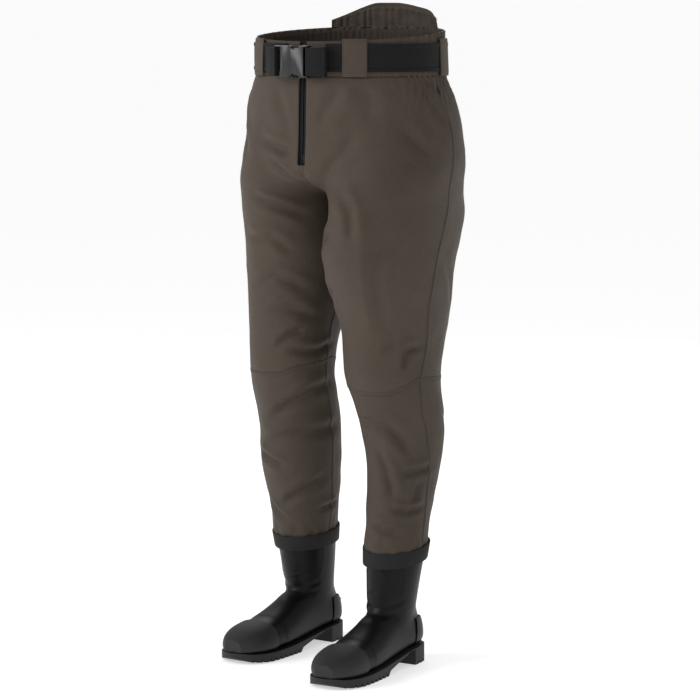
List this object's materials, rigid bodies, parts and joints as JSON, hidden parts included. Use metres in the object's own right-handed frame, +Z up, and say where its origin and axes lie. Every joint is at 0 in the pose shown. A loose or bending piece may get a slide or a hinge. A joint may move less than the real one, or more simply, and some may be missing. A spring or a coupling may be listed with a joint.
{
  "type": "waist waders",
  "caption": "Waist-high boot-foot waders: ripstop trousers with zip fly, raised back panel, belt with side-release buckle and rubber boots sealed on at the cuffs.",
  "frame": {"origin": "middle of the footprint, on the floor", "axes": "+Z up, the front faces -Y, the wearer's left is +X"},
  "size_m": [0.4002, 0.428, 1.1219],
  "materials": {
    "ripstop": "matt ripstop weave",
    "webbing": "close black weave",
    "elastic": "ribbed elastic",
    "buckle_plastic": "satin moulded",
    "zip_tape": "woven tape",
    "zip_coil": "nylon coil",
    "zip_metal": "black paint",
    "cuff_rubber": "matt",
    "boot_rubber": "satin",
    "sole_rubber": "matt",
    "lining": "knit",
    "felt": "felt"
  },
  "bodies": {
    "root": {"back_panel": "ripstop", "belt_keeper": "webbing", "belt_loop_back": "ripstop", "belt_loop_front_left": "ripstop", "belt_loop_front_right": "ripstop", "belt_loop_side_left": "ripstop", "belt_loop_side_right": "ripstop", "belt_webbing": "webbing", "buckle_female": "buckle_plastic", "fly_gusset": "ripstop", "left_back_knee": "ripstop", "left_back_panel": "ripstop", "left_front_knee": "ripstop", "left_front_panel": "ripstop", "right_back_knee": "ripstop", "right_back_panel": "ripstop", "right_front_knee": "ripstop", "right_front_panel": "ripstop", "strap_fold_left": "webbing", "waist_elastic": "elastic", "waistband_back": "ripstop", "waistband_front_left": "ripstop", "waistband_front_right": "ripstop", "zip_bottom_stop": "zip_coil", "zip_coil_left": "zip_coil", "zip_coil_right": "zip_coil", "zip_tape_left": "zip_tape", "zip_tape_right": "zip_tape"},
    "left_lower_leg": {"left_back_shin": "ripstop", "left_boot_lining": "lining", "left_boot_upper": "boot_rubber", "left_cuff_band": "cuff_rubber", "left_front_shin": "ripstop", "left_heel_block": "sole_rubber", "left_heel_counter": "boot_rubber", "left_insole": "felt", "left_outsole": "sole_rubber", "left_toe_cap": "boot_rubber"},
    "right_lower_leg": {"right_back_shin": "ripstop", "right_boot_lining": "lining", "right_boot_upper": "boot_rubber", "right_cuff_band": "cuff_rubber", "right_front_shin": "ripstop", "right_heel_block": "sole_rubber", "right_heel_counter": "boot_rubber", "right_insole": "felt", "right_outsole": "sole_rubber", "right_toe_cap": "boot_rubber"},
    "zip_slider": {"zip_slider": "zip_metal"},
    "zip_pull": {"zip_pull": "zip_metal"},
    "buckle_male": {"buckle_male": "buckle_plastic", "strap_fold_right": "webbing"},
    "buckle_arm_upper": {"buckle_arm_upper": "buckle_plastic"},
    "buckle_arm_lower": {"buckle_arm_lower": "buckle_plastic"}
  },
  "joints": [
    {"name": "zip_slide", "type": "slide", "parent": "root", "child": "zip_slider", "axis": [0, -0.0339, -0.9994], "range_m": [0, 0.17]},
    {"name": "zip_pull_swing", "type": "hinge", "parent": "zip_slider", "child": "zip_pull", "pos_m": [-0.00463, -0.08917, 1.04482], "axis": [-1, 0, 0], "range_deg": [0, 12]},
    {"name": "buckle_release", "type": "slide", "parent": "root", "child": "buckle_male", "axis": [-1, 0, 0], "range_m": [0, 0.036]},
    {"name": "buckle_press_upper", "type": "hinge", "parent": "buckle_male", "child": "buckle_arm_upper", "pos_m": [-0.03263, -0.10649, 1.041], "axis": [0, 1, 0], "range_deg": [0, 5], "stiffness_Nm_per_rad": 0.2},
    {"name": "buckle_press_lower", "type": "hinge", "parent": "buckle_male", "child": "buckle_arm_lower", "pos_m": [-0.03263, -0.10649, 1.006], "axis": [0, 1, 0], "range_deg": [-5, 0], "stiffness_Nm_per_rad": 0.2},
    {"name": "left_knee_bend", "type": "hinge", "parent": "root", "child": "left_lower_leg", "pos_m": [0.09737, 0.02718, 0.497], "axis": [1, 0, 0], "range_deg": [0, 80], "deforming": ["left_back_knee", "left_front_knee"]},
    {"name": "right_knee_bend", "type": "hinge", "parent": "root", "child": "right_lower_leg", "pos_m": [-0.10713, 0.02318, 0.497], "axis": [1, 0, 0], "range_deg": [0, 80], "deforming": ["right_back_knee", "right_front_knee"]}
  ],
  "couplings": [
    {"joint": "buckle_press_lower", "follows": "buckle_press_upper", "ratio": -1}
  ]
}
